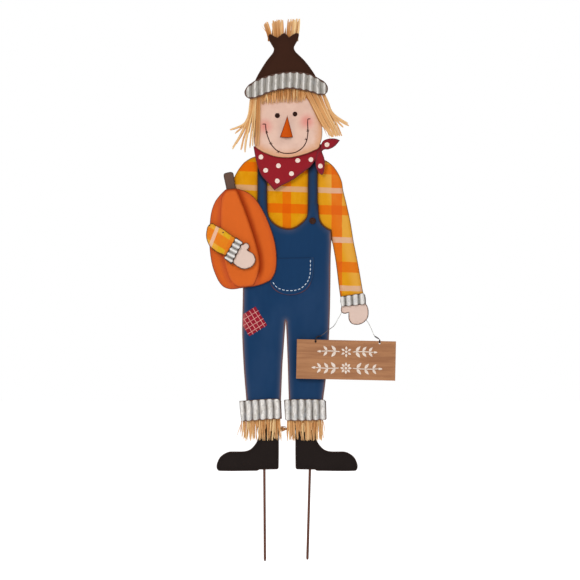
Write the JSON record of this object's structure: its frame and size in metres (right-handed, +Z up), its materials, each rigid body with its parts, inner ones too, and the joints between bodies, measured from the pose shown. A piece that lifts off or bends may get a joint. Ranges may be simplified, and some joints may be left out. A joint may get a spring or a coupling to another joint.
{
  "type": "scarecrow figure",
  "caption": "Flat layered sheet-metal scarecrow yard decoration on ground stakes, holding a pumpkin, with a wooden sign that hangs from one hand on a wire bail.",
  "frame": {"origin": "on the ground line, level with the boot soles, midway between the two ground stakes and in the plane of their axes", "axes": "+Z up, +X to the viewer's right, the painted front faces -Y"},
  "size_m": [0.3718, 0.043, 1.065],
  "materials": {
    "shirt_paint": "satin plaid paint",
    "denim_paint": "matt paint rubbed brown at the edges",
    "button_paint": "satin",
    "boot_paint": "matt",
    "galvanised": "whitewashed zinc, dark edges",
    "raffia": "dry straw",
    "skin_paint": "matt",
    "nose_paint": "satin",
    "eye_enamel": "gloss",
    "hat_paint": "matt",
    "bandana_paint": "satin",
    "pumpkin_paint": "matt",
    "stem_paint": "matt",
    "stake_paint": "matt",
    "zinc_steel": "zinc plated",
    "bail_wire": "dark annealed wire",
    "sign_wood": "oiled pine"
  },
  "bodies": {
    "figure": {"shirt_plate": "shirt_paint", "overalls_plate": "denim_paint", "pocket_plate": "denim_paint", "strap_button": "button_paint", "boot_left": "boot_paint", "boot_right": "boot_paint", "leg_cuff_left": "galvanised", "leg_cuff_right": "galvanised", "raffia_skirt_left": "raffia", "raffia_skirt_right": "raffia", "leg_brace": "stake_paint", "head_plate": "skin_paint", "nose": "nose_paint", "eyes": "eye_enamel", "neck_strap": "zinc_steel", "hat_plate": "hat_paint", "hat_band": "galvanised", "hat_tuft": "raffia", "hair_fringe": "raffia", "hair_left": "raffia", "hair_right": "raffia", "bandana": "bandana_paint", "bandana_tail_lower": "bandana_paint", "bandana_tail_upper": "bandana_paint", "pumpkin_shell": "pumpkin_paint", "pumpkin_lobe": "pumpkin_paint", "pumpkin_stem": "stem_paint", "forearm": "shirt_paint", "forearm_cuff": "galvanised", "hand_left": "skin_paint", "forearm_rivets": "zinc_steel", "arm_cuff": "galvanised", "hand_right": "skin_paint", "hand_hook": "zinc_steel", "spacers": "zinc_steel", "rivets": "zinc_steel", "socket_left": "zinc_steel", "socket_right": "zinc_steel"},
    "bail": {"hanger_wire": "bail_wire"},
    "sign": {"sign_board": "sign_wood"},
    "left_stake": {"stake_left": "stake_paint"},
    "right_stake": {"stake_right": "stake_paint"},
    "left_screw": {"thumbscrew_left": "zinc_steel"},
    "right_screw": {"thumbscrew_right": "zinc_steel"}
  },
  "joints": [
    {"name": "bail_swing", "type": "hinge", "parent": "figure", "child": "bail", "pos_m": [0.116, -0.0027, 0.335], "axis": [0, 1, 0], "range_deg": [-22, 10]},
    {"name": "sign_tilt", "type": "hinge", "parent": "bail", "child": "sign", "pos_m": [0.1185, -0.017, 0.2524], "axis": [-0.9998, 0, 0.0223], "range_deg": [0, 15]},
    {"name": "stake_left_slide", "type": "slide", "parent": "figure", "child": "left_stake", "axis": [0.007, 0, -1], "range_m": [0, 0.025]},
    {"name": "stake_right_slide", "type": "slide", "parent": "figure", "child": "right_stake", "axis": [-0.0279, 0, -0.9996], "range_m": [0, 0.025]},
    {"name": "thumbscrew_left_turn", "type": "hinge", "parent": "figure", "child": "left_screw", "pos_m": [-0.04498, 0.01, 0.04], "axis": [0, 1, 0], "continuous": true},
    {"name": "thumbscrew_right_turn", "type": "hinge", "parent": "figure", "child": "right_screw", "pos_m": [0.04582, 0.01, 0.03998], "axis": [0, 1, 0], "continuous": true}
  ]
}
